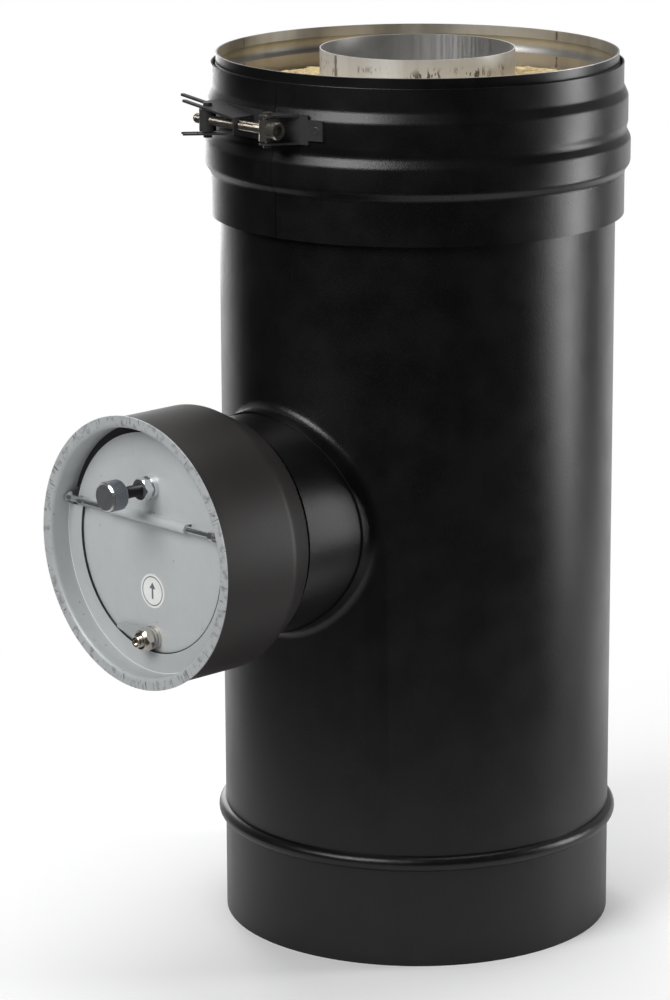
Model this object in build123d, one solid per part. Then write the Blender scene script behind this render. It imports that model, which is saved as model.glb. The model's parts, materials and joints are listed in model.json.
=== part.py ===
from build123d import *
import os
from math import radians, sqrt, tan

# Double-wall chimney pipe section with a side branch and a plugged-in draught regulator.
# The pipe's axis is Z, its lower edge is at z = 0, and the branch points along -Y.

# Pipe section
HEIGHT = 450.0
LINER_R = 49.0
LINER_WALL = 0.6
LINER_PROUD = 1.5
LINER_SOCKET_LENGTH = 45.0
LINER_SOCKET_CLEARANCE = 0.3
LINER_SOCKET_R = LINER_R + LINER_SOCKET_CLEARANCE + LINER_WALL
LINER_TAPER = 3.0
LINER_CORNER = 0.8

WOOL_GAP = 0.3
WOOL_WALL = 49.6
WOOL_DROP = 20.0
WOOL_RELIEF_DEPTH = 40.0
WOOL_RELIEF = 4.0

JACKET_WALL = 0.8
JACKET_R = LINER_R + WOOL_GAP + WOOL_WALL + WOOL_GAP + JACKET_WALL
BEAD_Z = 54.5
BEAD_HALF = 4.0
BEAD_RISE = 3.6
SOCKET_LENGTH = 56.0
SOCKET_TAPER = 4.0
SOCKET_CLEARANCE = 0.3
SOCKET_R = JACKET_R + SOCKET_CLEARANCE + JACKET_WALL
SOCKET_BEAD_DROP = 9.0
SOCKET_BEAD_HALF = 4.0
SOCKET_BEAD_RISE = 1.4
RETAINER_Z = 10.0
RETAINER_FLANGE = 8.0

# Side branch, measured along its own axis from the pipe's axis
BRANCH_Z = 225.0
BRANCH_STEP = 2.0
INNER_BRANCH_R = LINER_R - BRANCH_STEP
BRANCH_WOOL_WALL = 6.6
STUB_R = INNER_BRANCH_R + WOOL_GAP + BRANCH_WOOL_WALL + WOOL_GAP + JACKET_WALL
STUB_CLEARANCE = 0.2
NECK_R = STUB_R + STUB_CLEARANCE + JACKET_WALL
NECK_REACH = 8.0
NECK_END = JACKET_R + NECK_REACH
NECK_BLEND = 5.0
STUB_DEPTH = 40.0
STUB_START = JACKET_R - STUB_DEPTH
STUB_REACH = 19.3
STUB_END = NECK_END + STUB_REACH
INNER_BRANCH_SET_BACK = 1.3
INNER_BRANCH_END = STUB_END - INNER_BRANCH_SET_BACK
BRANCH_WOOL_SET_BACK = 8.0

# Locking band, from its upper edge down
BAND_WALL = 0.8
BAND_CORNER = 4.5
BAND_CLEARANCE = 0.3
BAND_TOP_R = SOCKET_R + SOCKET_BEAD_RISE + BAND_CLEARANCE + BAND_WALL
UPPER_BEAD_RISE = 2.3
UPPER_BEAD_R = BAND_TOP_R + UPPER_BEAD_RISE
DIP_DEPTH = 1.0
DIP_R = UPPER_BEAD_R - DIP_DEPTH
LOWER_BEAD_RISE = 1.4
LOWER_BEAD_R = UPPER_BEAD_R + LOWER_BEAD_RISE
SKIRT_STEP = 0.8
BAND_SKIRT_R = BAND_TOP_R + SKIRT_STEP
BAND_DROP = 5.0
BAND_TOP = HEIGHT - BAND_DROP
BAND_NECK = 11.5
UPPER_BEAD_RAMP = 5.0
UPPER_BEAD_WIDTH = 13.0
UPPER_BEAD_Z = BAND_TOP - BAND_NECK - UPPER_BEAD_RAMP
DIP_RAMP = 3.7
DIP_Z = UPPER_BEAD_Z - UPPER_BEAD_WIDTH - DIP_RAMP
LOWER_BEAD_RAMP = 4.8
LOWER_BEAD_WIDTH = 12.0
LOWER_BEAD_Z = DIP_Z - LOWER_BEAD_RAMP
SKIRT_RAMP = 4.0
SKIRT_Z = LOWER_BEAD_Z - LOWER_BEAD_WIDTH - SKIRT_RAMP
SKIRT_LENGTH = 22.0
BAND_BOTTOM = SKIRT_Z - SKIRT_LENGTH
BAND_LINE = [
    (BAND_TOP_R, BAND_TOP),
    (BAND_TOP_R, BAND_TOP - BAND_NECK),
    (UPPER_BEAD_R, UPPER_BEAD_Z),
    (UPPER_BEAD_R, UPPER_BEAD_Z - UPPER_BEAD_WIDTH),
    (DIP_R, DIP_Z),
    (LOWER_BEAD_R, LOWER_BEAD_Z),
    (LOWER_BEAD_R, LOWER_BEAD_Z - LOWER_BEAD_WIDTH),
    (BAND_SKIRT_R, SKIRT_Z),
    (BAND_SKIRT_R, BAND_BOTTOM),
]
BAND_SPLIT_X = 9.0
BAND_SPLIT = 0.3

# Clamp, drawn facing -Y and then turned to its place on the band
CLAMP_ANGLE = -1.0
CLAMP_DROP = 21.0
CLAMP_Z = BAND_TOP - CLAMP_DROP
BRACKET_WALL = 1.0
BRACKET_CLEARANCE = 0.3
BRACKET_SEAT_R = UPPER_BEAD_R + BRACKET_CLEARANCE
BOLT_STAND_OFF = 8.8
BOLT_Y = -BRACKET_SEAT_R - BOLT_STAND_OFF
BOLT_R = 2.5
BOLT_HEAD_R = 4.4
BOLT_HEAD_LENGTH = 4.4
BOLT_KEY = 4.0
BOLT_KEY_DEPTH = 2.5
BOLT_WASHER = 1.0
RUNNING_CLEARANCE = 0.05
BARREL_R = 4.2
FLANGE_INSIDE = 6.2
FLANGE_CLEARANCE = 0.8
BARREL_HALF = FLANGE_INSIDE - FLANGE_CLEARANCE
PIN_R = 2.2
PIN_CLEARANCE = 0.3
PIN_PROUD = 1.4
PIN_REACH = FLANGE_INSIDE + BRACKET_WALL + PIN_PROUD
HEAD_BARREL_X = 16.0
HEAD_BARREL_FLAT = 2.8
STRAP_LEAD = 3.0
STRAP_WIDE = 15.0
STRAP_NARROW = 7.5
STRAP_BASE = (HEAD_BARREL_X - STRAP_LEAD, HEAD_BARREL_X + STRAP_WIDE)
STRAP_END = STRAP_BASE[1] + STRAP_NARROW
STRAP_HALF = 5.0
END_WALL_X = -4.0
END_WALL_HOLE_CLEARANCE = 0.7
HOOK_LENGTH = 24.0
HOOK_BARREL_X = END_WALL_X - HOOK_LENGTH
HOOK_LEAD = 7.0
HOOK_LIP = 8.0
HOOK_BASE = (HOOK_BARREL_X - HOOK_LEAD, END_WALL_X + HOOK_LIP)
FINGER_REACH = 24.0
FINGER_END = HOOK_BARREL_X - FINGER_REACH
NEAR_FINGER_REACH = 14.0
NEAR_FINGER_END = HOOK_BARREL_X - NEAR_FINGER_REACH
FINGER_ROUND = 1.2
FINGER_HALF = 5.0
BOLT_PAST_HOOK = 8.7
FLANGE_LEAN = 7.0
BOLT_TIP_X = HOOK_BARREL_X - BOLT_PAST_HOOK

# Regulator housing, measured along the branch axis
CASING_WALL = 0.9
CASING_CORNER = 1.4
CASING_GAP = 3.2
CASING_BACK_U = STUB_END + CASING_GAP
CASING_BACK_STEP = 1.5
CASING_BACK_R = NECK_R + CASING_BACK_STEP
SHOULDER_RISE = 16.5
SHOULDER_STEP = 8.5
SHOULDER_ROUND = 9.0
SHOULDER_U = CASING_BACK_U + SHOULDER_RISE
CASING_R = CASING_BACK_R + SHOULDER_STEP
CASING_LENGTH = 46.0
RIM_U = SHOULDER_U + CASING_LENGTH
SPIGOT_CLEARANCE = 0.3
SPIGOT_DEPTH = 26.0
SPIGOT_END = INNER_BRANCH_END - SPIGOT_DEPTH
MOUTH_WALL = 0.9
MOUTH_OVERHANG = 1.5
MOUTH_FLANGE_R = CASING_R + MOUTH_OVERHANG
MOUTH_GAP = 2.7
MOUTH_R = CASING_R - CASING_WALL - MOUTH_GAP - MOUTH_WALL
MOUTH_ROUND = 2.2
SEAT_DEPTH = 11.0
SEAT_FRONT_U = RIM_U - SEAT_DEPTH
SEAT_WIDTH = 10.5
SEAT_R = MOUTH_R - SEAT_WIDTH
SEAT_WALL = 1.0
SEAT_GAP = 0.3
MOUTH_TAIL = 5.0
MOUTH_DEPTH = SEAT_DEPTH + MOUTH_TAIL

# Flap
FLAP_CLEARANCE = 4.1
FLAP_R = MOUTH_R - FLAP_CLEARANCE
FLAP_WALL = 1.2
FLAP_FRONT_U = SEAT_FRONT_U - SEAT_WALL - SEAT_GAP
FLAP_BACK_U = FLAP_FRONT_U - FLAP_WALL
AXLE_R = 1.6
FLAP_TO_AXLE = 3.5875
AXLE_V = FLAP_R / FLAP_TO_AXLE
AXLE_AHEAD = 2.9
AXLE_U = FLAP_FRONT_U + AXLE_AHEAD
AXLE_SHORT = 0.5
AXLE_HALF = MOUTH_R - AXLE_SHORT
RIB_HALF = 29.0
RIB_WALL = 0.7
RIB_R = AXLE_R + RUNNING_CLEARANCE + RIB_WALL
BUSH_WALL = 0.85
BUSH_R = AXLE_R + RUNNING_CLEARANCE + BUSH_WALL
BUSH_HOLE_CLEARANCE = 0.1
BUSH_LENGTH = 4.6
BUSH_PROUD = 0.3
BUSH_END = MOUTH_R + BUSH_PROUD
BUSH_START = BUSH_END - BUSH_LENGTH
BUSH_FLANGE_R = 3.2
BUSH_FLANGE = 1.0
COLLAR_WALL = 0.95
COLLAR_R = AXLE_R + RUNNING_CLEARANCE + COLLAR_WALL
COLLAR_LENGTH = 3.0
COLLAR_SET_IN = 8.0
COLLAR_END = BUSH_START - COLLAR_SET_IN
SEAT_BUSH_GAP = 0.3
LOWER_SEAT_DROP = BUSH_FLANGE_R + SEAT_BUSH_GAP
UPPER_SEAT_RISE = 5.0

# Weight and lock on the flap, both on its middle line
THREAD_R = 3.0
HOLE_R = THREAD_R + RUNNING_CLEARANCE
NUT_ACROSS = 10.0
NUT_CHAMFER = 0.7
NUT_LENGTH = 5.0
SPINDLE_RISE = 15.0
SPINDLE_V = AXLE_V + SPINDLE_RISE
SPINDLE_REACH = 22.8
SPINDLE_END_U = FLAP_FRONT_U + SPINDLE_REACH
SPINDLE_WASHER_R = 5.8
SPINDLE_WASHER = 2.5
WEIGHT_R = 7.5
WEIGHT_GRIP = 3.0
WEIGHT_START_U = SPINDLE_END_U - WEIGHT_GRIP
WEIGHT_LENGTH = 9.7
WEIGHT_FACE = 1.2
WEIGHT_CHAMFER = 0.7
LOCK_HEAD = 4.0
LOCK_WASHER_R = 6.0
LOCK_WASHER = 1.6
LOCK_SEAT_GAP = 0.5
LOCK_V = LOCK_WASHER_R + LOCK_SEAT_GAP - SEAT_R
TAB_GAP = 0.1
TAB_WALL = 1.0
TAB_R = 5.4
TAB_TIP = (-23.0, 2.0)
TAB_TIP_R = 1.2
TAB_U = FLAP_FRONT_U + LOCK_WASHER + TAB_GAP
LOCK_NUT_LENGTH = 6.0
LOCK_NUT_CHAMFER = 1.6
LOCK_NUT_U = TAB_U + TAB_WALL + TAB_GAP
LOCK_PROUD = 3.0
LOCK_END_U = LOCK_NUT_U + LOCK_NUT_LENGTH + LOCK_PROUD

# How far a cutting solid reaches past what it cuts
CUT_PAST = 1.0

BRANCH = Plane(origin=(0, 0, BRANCH_Z), x_dir=(1, 0, 0), z_dir=(0, -1, 0)).location
ALONG_X = Rot(0, 90, 0)


def rod(radius, start, end):
    """Round bar about Z from start to end."""
    return Pos(0, 0, start) * extrude(Circle(radius), end - start)


def ring(inside, outside, start, end):
    """Plain ring about Z from start to end."""
    return Pos(0, 0, start) * extrude(Circle(outside) - Circle(inside), end - start)


def spun_sheet(outer_line, inner_line, corner):
    """Sheet turned about Z between two (radius, height) lines.

    The corner radius is one number, or one for each corner of a line in order.
    """
    outer = FilletPolyline(*outer_line, radius=corner)
    inner = FilletPolyline(*inner_line, radius=corner)
    first = Line(outer_line[0], inner_line[0])
    last = Line(outer_line[-1], inner_line[-1])
    return revolve(Plane.XZ * make_face([outer, inner, first, last]), Axis.Z)


def spun_solid(points):
    """Solid turned about Z from a closed (radius, height) outline."""
    return revolve(Plane.XZ * make_face(Polyline(*points, close=True)), Axis.Z)


def hex_blank(across, start, end, corner=NUT_CHAMFER):
    """Hexagon bar about Z with its corners turned off at both ends."""
    prism = Pos(0, 0, start) * extrude(RegularPolygon(across / 2, 6, major_radius=False), end - start)
    turned = rod(across / sqrt(3), start, end)
    return prism & chamfer(turned.edges().filter_by(GeomType.CIRCLE), corner)


def on_branch(solid, v=0.0):
    """Place a solid drawn about Z onto the branch axis, raised by v."""
    return BRANCH * Pos(0, v, 0) * solid


def on_axle(solid):
    """Place a solid drawn about Z onto the flap's axle, which runs along X."""
    return BRANCH * Pos(0, AXLE_V, AXLE_U) * ALONG_X * solid


def on_bolt(solid):
    """Place a solid drawn about Z onto the clamp bolt's axis, which runs along X."""
    return Pos(0, BOLT_Y, CLAMP_Z) * ALONG_X * solid


def on_clamp(solid):
    """Turn a finished clamp piece to its place on the band."""
    return solid.rotate(Axis.Z, CLAMP_ANGLE)


# Pipe section
def jacket_core(inset, margin):
    """Solid inside the jacket's outer face, or inside its inner face when inset by the wall."""
    low = JACKET_R - inset
    high = SOCKET_R - inset
    socket_z = HEIGHT - SOCKET_LENGTH
    top_bead = HEIGHT - SOCKET_BEAD_DROP
    bead_start = (low, BEAD_Z - BEAD_HALF)
    bead_end = (low, BEAD_Z + BEAD_HALF)
    socket_start = (low, socket_z - SOCKET_TAPER)
    socket_end = (high, socket_z)
    rim_start = (high, top_bead - SOCKET_BEAD_HALF)
    rim_end = (high, top_bead + SOCKET_BEAD_HALF)
    top = HEIGHT + margin
    outline = [
        Line((0, -margin), (low, -margin)),
        Line((low, -margin), bead_start),
        ThreePointArc(bead_start, (low + BEAD_RISE, BEAD_Z), bead_end),
        Line(bead_end, socket_start),
        Line(socket_start, socket_end),
        Line(socket_end, rim_start),
        ThreePointArc(rim_start, (high + SOCKET_BEAD_RISE, top_bead), rim_end),
        Line(rim_end, (high, top)),
        Line((high, top), (0, top)),
        Line((0, top), (0, -margin)),
    ]
    return revolve(Plane.XZ * make_face(outline), Axis.Z)


def add_neck(core, radius, blend):
    """Join a branch neck to the core and blend the seam between them."""
    body = core + on_branch(rod(radius, 0, STUB_END))
    seam = [e for e in body.edges() if e.geom_type not in (GeomType.LINE, GeomType.CIRCLE)]
    return fillet(seam, blend)


def outer_jacket():
    outside = add_neck(jacket_core(0, 0), NECK_R, NECK_BLEND)
    inside = add_neck(jacket_core(JACKET_WALL, CUT_PAST), NECK_R - JACKET_WALL, NECK_BLEND + JACKET_WALL)
    branch_room = on_branch(rod(NECK_R + NECK_BLEND, STUB_START, STUB_END + CUT_PAST))
    past_neck = branch_room - rod(NECK_END, 0, HEIGHT)
    return outside - inside - past_neck


def flue_liner():
    top = HEIGHT + LINER_PROUD
    outer_line = [
        (LINER_SOCKET_R, 0),
        (LINER_SOCKET_R, LINER_SOCKET_LENGTH),
        (LINER_R, LINER_SOCKET_LENGTH + LINER_TAPER),
        (LINER_R, top),
    ]
    inner_line = [(r - LINER_WALL, z) for r, z in outer_line]
    tube = spun_sheet(outer_line, inner_line, LINER_CORNER)
    return tube - on_branch(rod(INNER_BRANCH_R - LINER_WALL, 0, STUB_START))


def liner_branch():
    tube = on_branch(ring(INNER_BRANCH_R - LINER_WALL, INNER_BRANCH_R, 0, INNER_BRANCH_END))
    return tube - rod(LINER_R + RUNNING_CLEARANCE, 0, HEIGHT)


def insulation():
    outside = JACKET_R - JACKET_WALL - WOOL_GAP
    socket_inside = LINER_SOCKET_R + WOOL_GAP
    inside = LINER_R + WOOL_GAP
    bottom = RETAINER_Z + JACKET_WALL
    top = HEIGHT - WOOL_DROP
    relief_z = top - WOOL_RELIEF_DEPTH
    body = spun_solid([
        (socket_inside, bottom),
        (outside, bottom),
        (outside, relief_z),
        (outside - WOOL_RELIEF, relief_z),
        (outside - WOOL_RELIEF, top),
        (inside, top),
        (inside, LINER_SOCKET_LENGTH + LINER_TAPER + WOOL_GAP),
        (socket_inside, LINER_SOCKET_LENGTH + WOOL_GAP),
    ])
    return body - on_branch(rod(STUB_R + WOOL_GAP, 0, STUB_END))


def wool_retainer():
    outside = JACKET_R - JACKET_WALL - WOOL_GAP
    bore = LINER_SOCKET_R + WOOL_GAP
    plate = ring(bore, outside, RETAINER_Z, RETAINER_Z + JACKET_WALL)
    return plate + ring(outside - JACKET_WALL, outside, RETAINER_Z - RETAINER_FLANGE, RETAINER_Z)


def branch_stub():
    return on_branch(ring(STUB_R - JACKET_WALL, STUB_R, STUB_START, STUB_END))


def branch_wool():
    outside = STUB_R - JACKET_WALL - WOOL_GAP
    sleeve = on_branch(ring(INNER_BRANCH_R + WOOL_GAP, outside, 0, INNER_BRANCH_END - BRANCH_WOOL_SET_BACK))
    return sleeve - rod(LINER_R + WOOL_GAP, 0, HEIGHT)


# Locking band and its clamp
def locking_band():
    inner_line = [(r - BAND_WALL, z) for r, z in BAND_LINE]
    band = spun_sheet(BAND_LINE, inner_line, BAND_CORNER)
    middle = (BAND_TOP + BAND_BOTTOM) / 2
    split = Pos(BAND_SPLIT_X, -JACKET_R, middle) * Box(BAND_SPLIT, JACKET_R, HEIGHT)
    return on_clamp(band - split)


def band_plate(x_range, half_height):
    """Curved plate that lies on the band between two X positions."""
    start, end = x_range
    plate = ring(BRACKET_SEAT_R, BRACKET_SEAT_R + BRACKET_WALL, CLAMP_Z - half_height, CLAMP_Z + half_height)
    return plate & (Pos((start + end) / 2, -BRACKET_SEAT_R, CLAMP_Z) * Box(end - start, BRACKET_SEAT_R, HEIGHT))


def flange_pair(outline, lean=0.0):
    """The upper and the lower flange of a bracket, cut to the plate's outer face.

    A lean draws them together towards +X, from their full distance at the hook barrel.
    """
    flange = Pos(-HOOK_BARREL_X, 0, 0) * extrude(outline, BRACKET_WALL)
    upper = Pos(HOOK_BARREL_X, 0, CLAMP_Z + FLANGE_INSIDE) * Rot(0, lean, 0) * flange
    sunk = Pos(0, 0, -BRACKET_WALL) * flange
    lower = Pos(HOOK_BARREL_X, 0, CLAMP_Z - FLANGE_INSIDE) * Rot(0, -lean, 0) * sunk
    return (upper + lower) - rod(BRACKET_SEAT_R, CLAMP_Z - HEIGHT / 4, CLAMP_Z + HEIGHT / 4)


def hook_bracket():
    half = FLANGE_INSIDE + BRACKET_WALL
    outer_y = BOLT_Y - FINGER_HALF
    root_y = BOLT_Y + FINGER_HALF
    outline = make_face(Polyline(
        (END_WALL_X + BRACKET_WALL, outer_y),
        (FINGER_END, outer_y),
        (FINGER_END, root_y),
        (HOOK_BASE[0], root_y),
        (HOOK_BASE[0], -BRACKET_SEAT_R + FINGER_HALF * 2),
        (END_WALL_X + BRACKET_WALL, -BRACKET_SEAT_R),
        close=True,
    ))
    slot_r = PIN_R + PIN_CLEARANCE
    slot_length = HOOK_BARREL_X - FINGER_END
    slot = Pos(FINGER_END + slot_length / 2, BOLT_Y) * Rectangle(slot_length, 2 * slot_r)
    slot += Pos(HOOK_BARREL_X, BOLT_Y) * Circle(slot_r)
    shorter = NEAR_FINGER_END - FINGER_END
    past_near = Pos(FINGER_END + shorter / 2, outer_y) * Rectangle(shorter, 2 * FINGER_HALF)
    forked = outline - slot - past_near
    tips = forked.vertices().group_by(Axis.X)
    forked = fillet(tips[0] + tips[1], FINGER_ROUND)
    wall_half = half - (END_WALL_X - HOOK_BARREL_X) * tan(radians(FLANGE_LEAN))
    wall_middle = (outer_y - BRACKET_SEAT_R) / 2
    wall = Pos(END_WALL_X + BRACKET_WALL / 2, wall_middle, CLAMP_Z) * Box(
        BRACKET_WALL, -outer_y - BRACKET_SEAT_R, 2 * wall_half)
    body = flange_pair(forked, FLANGE_LEAN) + band_plate(HOOK_BASE, half) + wall
    return on_clamp(body - on_bolt(rod(BOLT_R + END_WALL_HOLE_CLEARANCE, *HOOK_BASE)))


def strap_bracket():
    half = FLANGE_INSIDE + BRACKET_WALL
    eye = Pos(HEAD_BARREL_X, BOLT_Y) * Circle(BARREL_R)
    arm = make_face(Polyline(
        (HEAD_BARREL_X - BARREL_R, BOLT_Y),
        (HEAD_BARREL_X + BARREL_R, BOLT_Y),
        (STRAP_BASE[1], -BRACKET_SEAT_R + FINGER_HALF * 2),
        (STRAP_BASE[0], -BRACKET_SEAT_R + FINGER_HALF),
        close=True,
    ))
    hole = Pos(HEAD_BARREL_X, BOLT_Y) * Circle(PIN_R + PIN_CLEARANCE)
    base = band_plate(STRAP_BASE, half) + band_plate((STRAP_BASE[0], STRAP_END), STRAP_HALF)
    return on_clamp(flange_pair(eye + arm - hole) + base)


def cross_barrel(x):
    """Upright barrel with a pin at each end and a hole for the bolt."""
    body = rod(BARREL_R, -BARREL_HALF, BARREL_HALF) + rod(PIN_R, -PIN_REACH, PIN_REACH)
    return Pos(x, BOLT_Y, CLAMP_Z) * body - on_bolt(rod(BOLT_R + RUNNING_CLEARANCE, -HEIGHT, HEIGHT))


def head_barrel():
    face_x = HEAD_BARREL_X + HEAD_BARREL_FLAT
    flat = Pos(face_x + BARREL_R, BOLT_Y, CLAMP_Z) * Box(2 * BARREL_R, 4 * BARREL_R, 2 * BARREL_HALF)
    return on_clamp(cross_barrel(HEAD_BARREL_X) - flat)


def hook_barrel():
    return on_clamp(cross_barrel(HOOK_BARREL_X))


def bolt_washer():
    start = HEAD_BARREL_X + HEAD_BARREL_FLAT
    return on_clamp(on_bolt(ring(BOLT_R + RUNNING_CLEARANCE, BOLT_HEAD_R, start, start + BOLT_WASHER)))


def clamp_bolt():
    head_start = HEAD_BARREL_X + HEAD_BARREL_FLAT + BOLT_WASHER
    head_end = head_start + BOLT_HEAD_LENGTH
    head = rod(BOLT_HEAD_R, head_start, head_end)
    head = chamfer(head.edges().group_by(Axis.Z)[-1], NUT_CHAMFER)
    key = Pos(0, 0, head_end - BOLT_KEY_DEPTH) * extrude(
        RegularPolygon(BOLT_KEY / 2, 6, major_radius=False), BOLT_KEY_DEPTH)
    return on_clamp(on_bolt(head + rod(BOLT_R, BOLT_TIP_X, head_start) - key))


# Regulator housing
def regulator_casing():
    front = RIM_U - MOUTH_WALL
    spigot_r = INNER_BRANCH_R - LINER_WALL - SPIGOT_CLEARANCE
    outer_line = [
        (CASING_R, front),
        (CASING_R, SHOULDER_U),
        (CASING_BACK_R, CASING_BACK_U),
        (spigot_r, CASING_BACK_U),
        (spigot_r, SPIGOT_END),
    ]
    inner_back = CASING_BACK_U + CASING_WALL
    inner_line = [
        (CASING_R - CASING_WALL, front),
        (CASING_R - CASING_WALL, SHOULDER_U),
        (CASING_BACK_R - CASING_WALL / 2, inner_back),
        (spigot_r - CASING_WALL, inner_back),
        (spigot_r - CASING_WALL, SPIGOT_END),
    ]
    corners = (SHOULDER_ROUND, CASING_CORNER, CASING_CORNER)
    return on_branch(spun_sheet(outer_line, inner_line, corners))


def mouth_ring():
    back = RIM_U - MOUTH_DEPTH
    flange_back = RIM_U - MOUTH_WALL
    front_line = [(MOUTH_FLANGE_R, RIM_U), (MOUTH_R, RIM_U), (MOUTH_R, back)]
    rear_line = [
        (MOUTH_FLANGE_R, flange_back),
        (MOUTH_R + MOUTH_WALL, flange_back),
        (MOUTH_R + MOUTH_WALL, back),
    ]
    body = on_branch(spun_sheet(front_line, rear_line, MOUTH_ROUND))
    return body - on_axle(rod(BUSH_R + BUSH_HOLE_CLEARANCE, -CASING_R, CASING_R))


def half_seat(front_u, low_v, high_v):
    """Flat seat ring, kept only between two heights."""
    flat = ring(SEAT_R, MOUTH_R - RUNNING_CLEARANCE, front_u - SEAT_WALL, front_u)
    keep = Pos(0, (low_v + high_v) / 2, front_u) * Box(2 * CASING_R, high_v - low_v, CASING_R)
    return on_branch(flat & keep)


def lower_seat_ring():
    return half_seat(SEAT_FRONT_U, -CASING_R, AXLE_V - LOWER_SEAT_DROP)


def upper_seat_ring():
    return half_seat(FLAP_BACK_U - SEAT_GAP, AXLE_V + UPPER_SEAT_RISE, CASING_R)


def axle_bushes():
    bore = AXLE_R + RUNNING_CLEARANCE
    bush = ring(bore, BUSH_R, BUSH_START, BUSH_END)
    bush += ring(bore, BUSH_FLANGE_R, BUSH_START, BUSH_START + BUSH_FLANGE)
    other = Rot(180, 0, 0) * bush
    return Compound([on_axle(bush), on_axle(other)])


# Flap and what rides on it
def channel(radius, from_u):
    """Straight-sided bar with a round front, along the rib, as wide as twice the radius."""
    depth = AXLE_U - from_u
    stem = Pos(0, AXLE_V, from_u + depth / 2) * Box(2 * RIB_HALF, 2 * radius, depth)
    return stem + Pos(0, AXLE_V, AXLE_U) * ALONG_X * rod(radius, -RIB_HALF, RIB_HALF)


def flap_disc():
    disc = rod(FLAP_R, FLAP_BACK_U, FLAP_FRONT_U)
    rib = channel(RIB_R, FLAP_BACK_U)
    slot = channel(AXLE_R + RUNNING_CLEARANCE, FLAP_BACK_U - CUT_PAST)
    hole = rod(HOLE_R, FLAP_BACK_U - CUT_PAST, FLAP_FRONT_U + CUT_PAST)
    holes = Pos(0, SPINDLE_V, 0) * hole + Pos(0, LOCK_V, 0) * hole
    return on_branch(disc + rib - slot - holes)


def flap_axle():
    return on_axle(rod(AXLE_R, -AXLE_HALF, AXLE_HALF))


def axle_collars():
    collar = ring(AXLE_R + RUNNING_CLEARANCE, COLLAR_R, COLLAR_END - COLLAR_LENGTH, COLLAR_END)
    other = Rot(180, 0, 0) * collar
    return Compound([on_axle(collar), on_axle(other)])


def weight_spindle():
    return on_branch(rod(THREAD_R, FLAP_BACK_U - NUT_LENGTH, SPINDLE_END_U), SPINDLE_V)


def spindle_washer():
    washer = ring(HOLE_R, SPINDLE_WASHER_R, FLAP_FRONT_U, FLAP_FRONT_U + SPINDLE_WASHER)
    return on_branch(washer, SPINDLE_V)


def nut(start, end, v, corner=NUT_CHAMFER):
    """Hexagon nut on a threaded rod of the flap."""
    hole = rod(HOLE_R, start - CUT_PAST, end + CUT_PAST)
    return on_branch(hex_blank(NUT_ACROSS, start, end, corner) - hole, v)


def spindle_nut():
    start = FLAP_FRONT_U + SPINDLE_WASHER
    return nut(start, start + NUT_LENGTH, SPINDLE_V)


def spindle_back_nut():
    return nut(FLAP_BACK_U - NUT_LENGTH + NUT_CHAMFER, FLAP_BACK_U, SPINDLE_V)


def adjusting_weight():
    start = WEIGHT_START_U
    end = start + WEIGHT_LENGTH
    body = rod(WEIGHT_R, start, end)
    body = chamfer(body.edges().filter_by(GeomType.CIRCLE), WEIGHT_CHAMFER)
    return on_branch(body - rod(HOLE_R, start - CUT_PAST, end - WEIGHT_FACE), SPINDLE_V)


def lock_bolt():
    head = hex_blank(NUT_ACROSS, FLAP_BACK_U - LOCK_HEAD, FLAP_BACK_U)
    return on_branch(head + rod(THREAD_R, FLAP_BACK_U, LOCK_END_U), LOCK_V)


def lock_washer():
    return on_branch(ring(HOLE_R, LOCK_WASHER_R, FLAP_FRONT_U, FLAP_FRONT_U + LOCK_WASHER), LOCK_V)


def locking_tab():
    tip = Pos(*TAB_TIP) * Circle(TAB_TIP_R)
    outline = make_hull(Circle(TAB_R).edges() + tip.edges()) - Circle(HOLE_R)
    return on_branch(Pos(0, 0, TAB_U) * extrude(outline, TAB_WALL), LOCK_V)


def lock_nut():
    return nut(LOCK_NUT_U, LOCK_NUT_U + LOCK_NUT_LENGTH, LOCK_V, LOCK_NUT_CHAMFER)


PIECES = [
    outer_jacket, flue_liner, liner_branch, insulation, wool_retainer, branch_stub, branch_wool,
    locking_band, hook_bracket, strap_bracket, head_barrel, bolt_washer, clamp_bolt, hook_barrel,
    regulator_casing, mouth_ring, lower_seat_ring, upper_seat_ring, axle_bushes,
    flap_disc, flap_axle, axle_collars, weight_spindle, spindle_washer, spindle_nut, spindle_back_nut,
    adjusting_weight, lock_bolt, lock_washer, locking_tab, lock_nut,
]

os.makedirs("parts", exist_ok=True)
for piece in PIECES:
    export_step(piece(), os.path.join("parts", piece.__name__ + ".step"))
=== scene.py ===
import json
import logging
import math
import random
from collections.abc import Callable, Sequence
from dataclasses import dataclass
from enum import Enum

import bmesh
import bpy
from mathutils import Matrix, Vector, noise


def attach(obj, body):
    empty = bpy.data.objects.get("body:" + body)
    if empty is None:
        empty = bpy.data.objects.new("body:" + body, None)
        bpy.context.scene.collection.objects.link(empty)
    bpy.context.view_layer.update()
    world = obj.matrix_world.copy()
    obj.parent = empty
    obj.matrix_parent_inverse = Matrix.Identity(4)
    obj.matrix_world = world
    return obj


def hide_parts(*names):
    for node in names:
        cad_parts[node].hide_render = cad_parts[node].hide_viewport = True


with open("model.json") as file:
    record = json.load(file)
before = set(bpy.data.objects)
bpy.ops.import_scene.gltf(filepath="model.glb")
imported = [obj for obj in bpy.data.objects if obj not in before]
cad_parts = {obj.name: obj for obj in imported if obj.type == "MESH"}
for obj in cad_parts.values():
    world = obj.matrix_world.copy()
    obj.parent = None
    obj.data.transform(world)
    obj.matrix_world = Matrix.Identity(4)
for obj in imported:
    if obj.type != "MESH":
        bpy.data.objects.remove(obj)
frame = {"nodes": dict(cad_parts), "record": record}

LOG = logging.getLogger("chimney_pipe")
Colour = tuple[float, float, float]
Place = tuple[float, float, float]
Socket = bpy.types.NodeSocket
Sockets = dict[str, Socket]
Mesh = bmesh.types.BMesh
Row = list[bmesh.types.BMVert]
Radius = float | Callable[[float], float]

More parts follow.
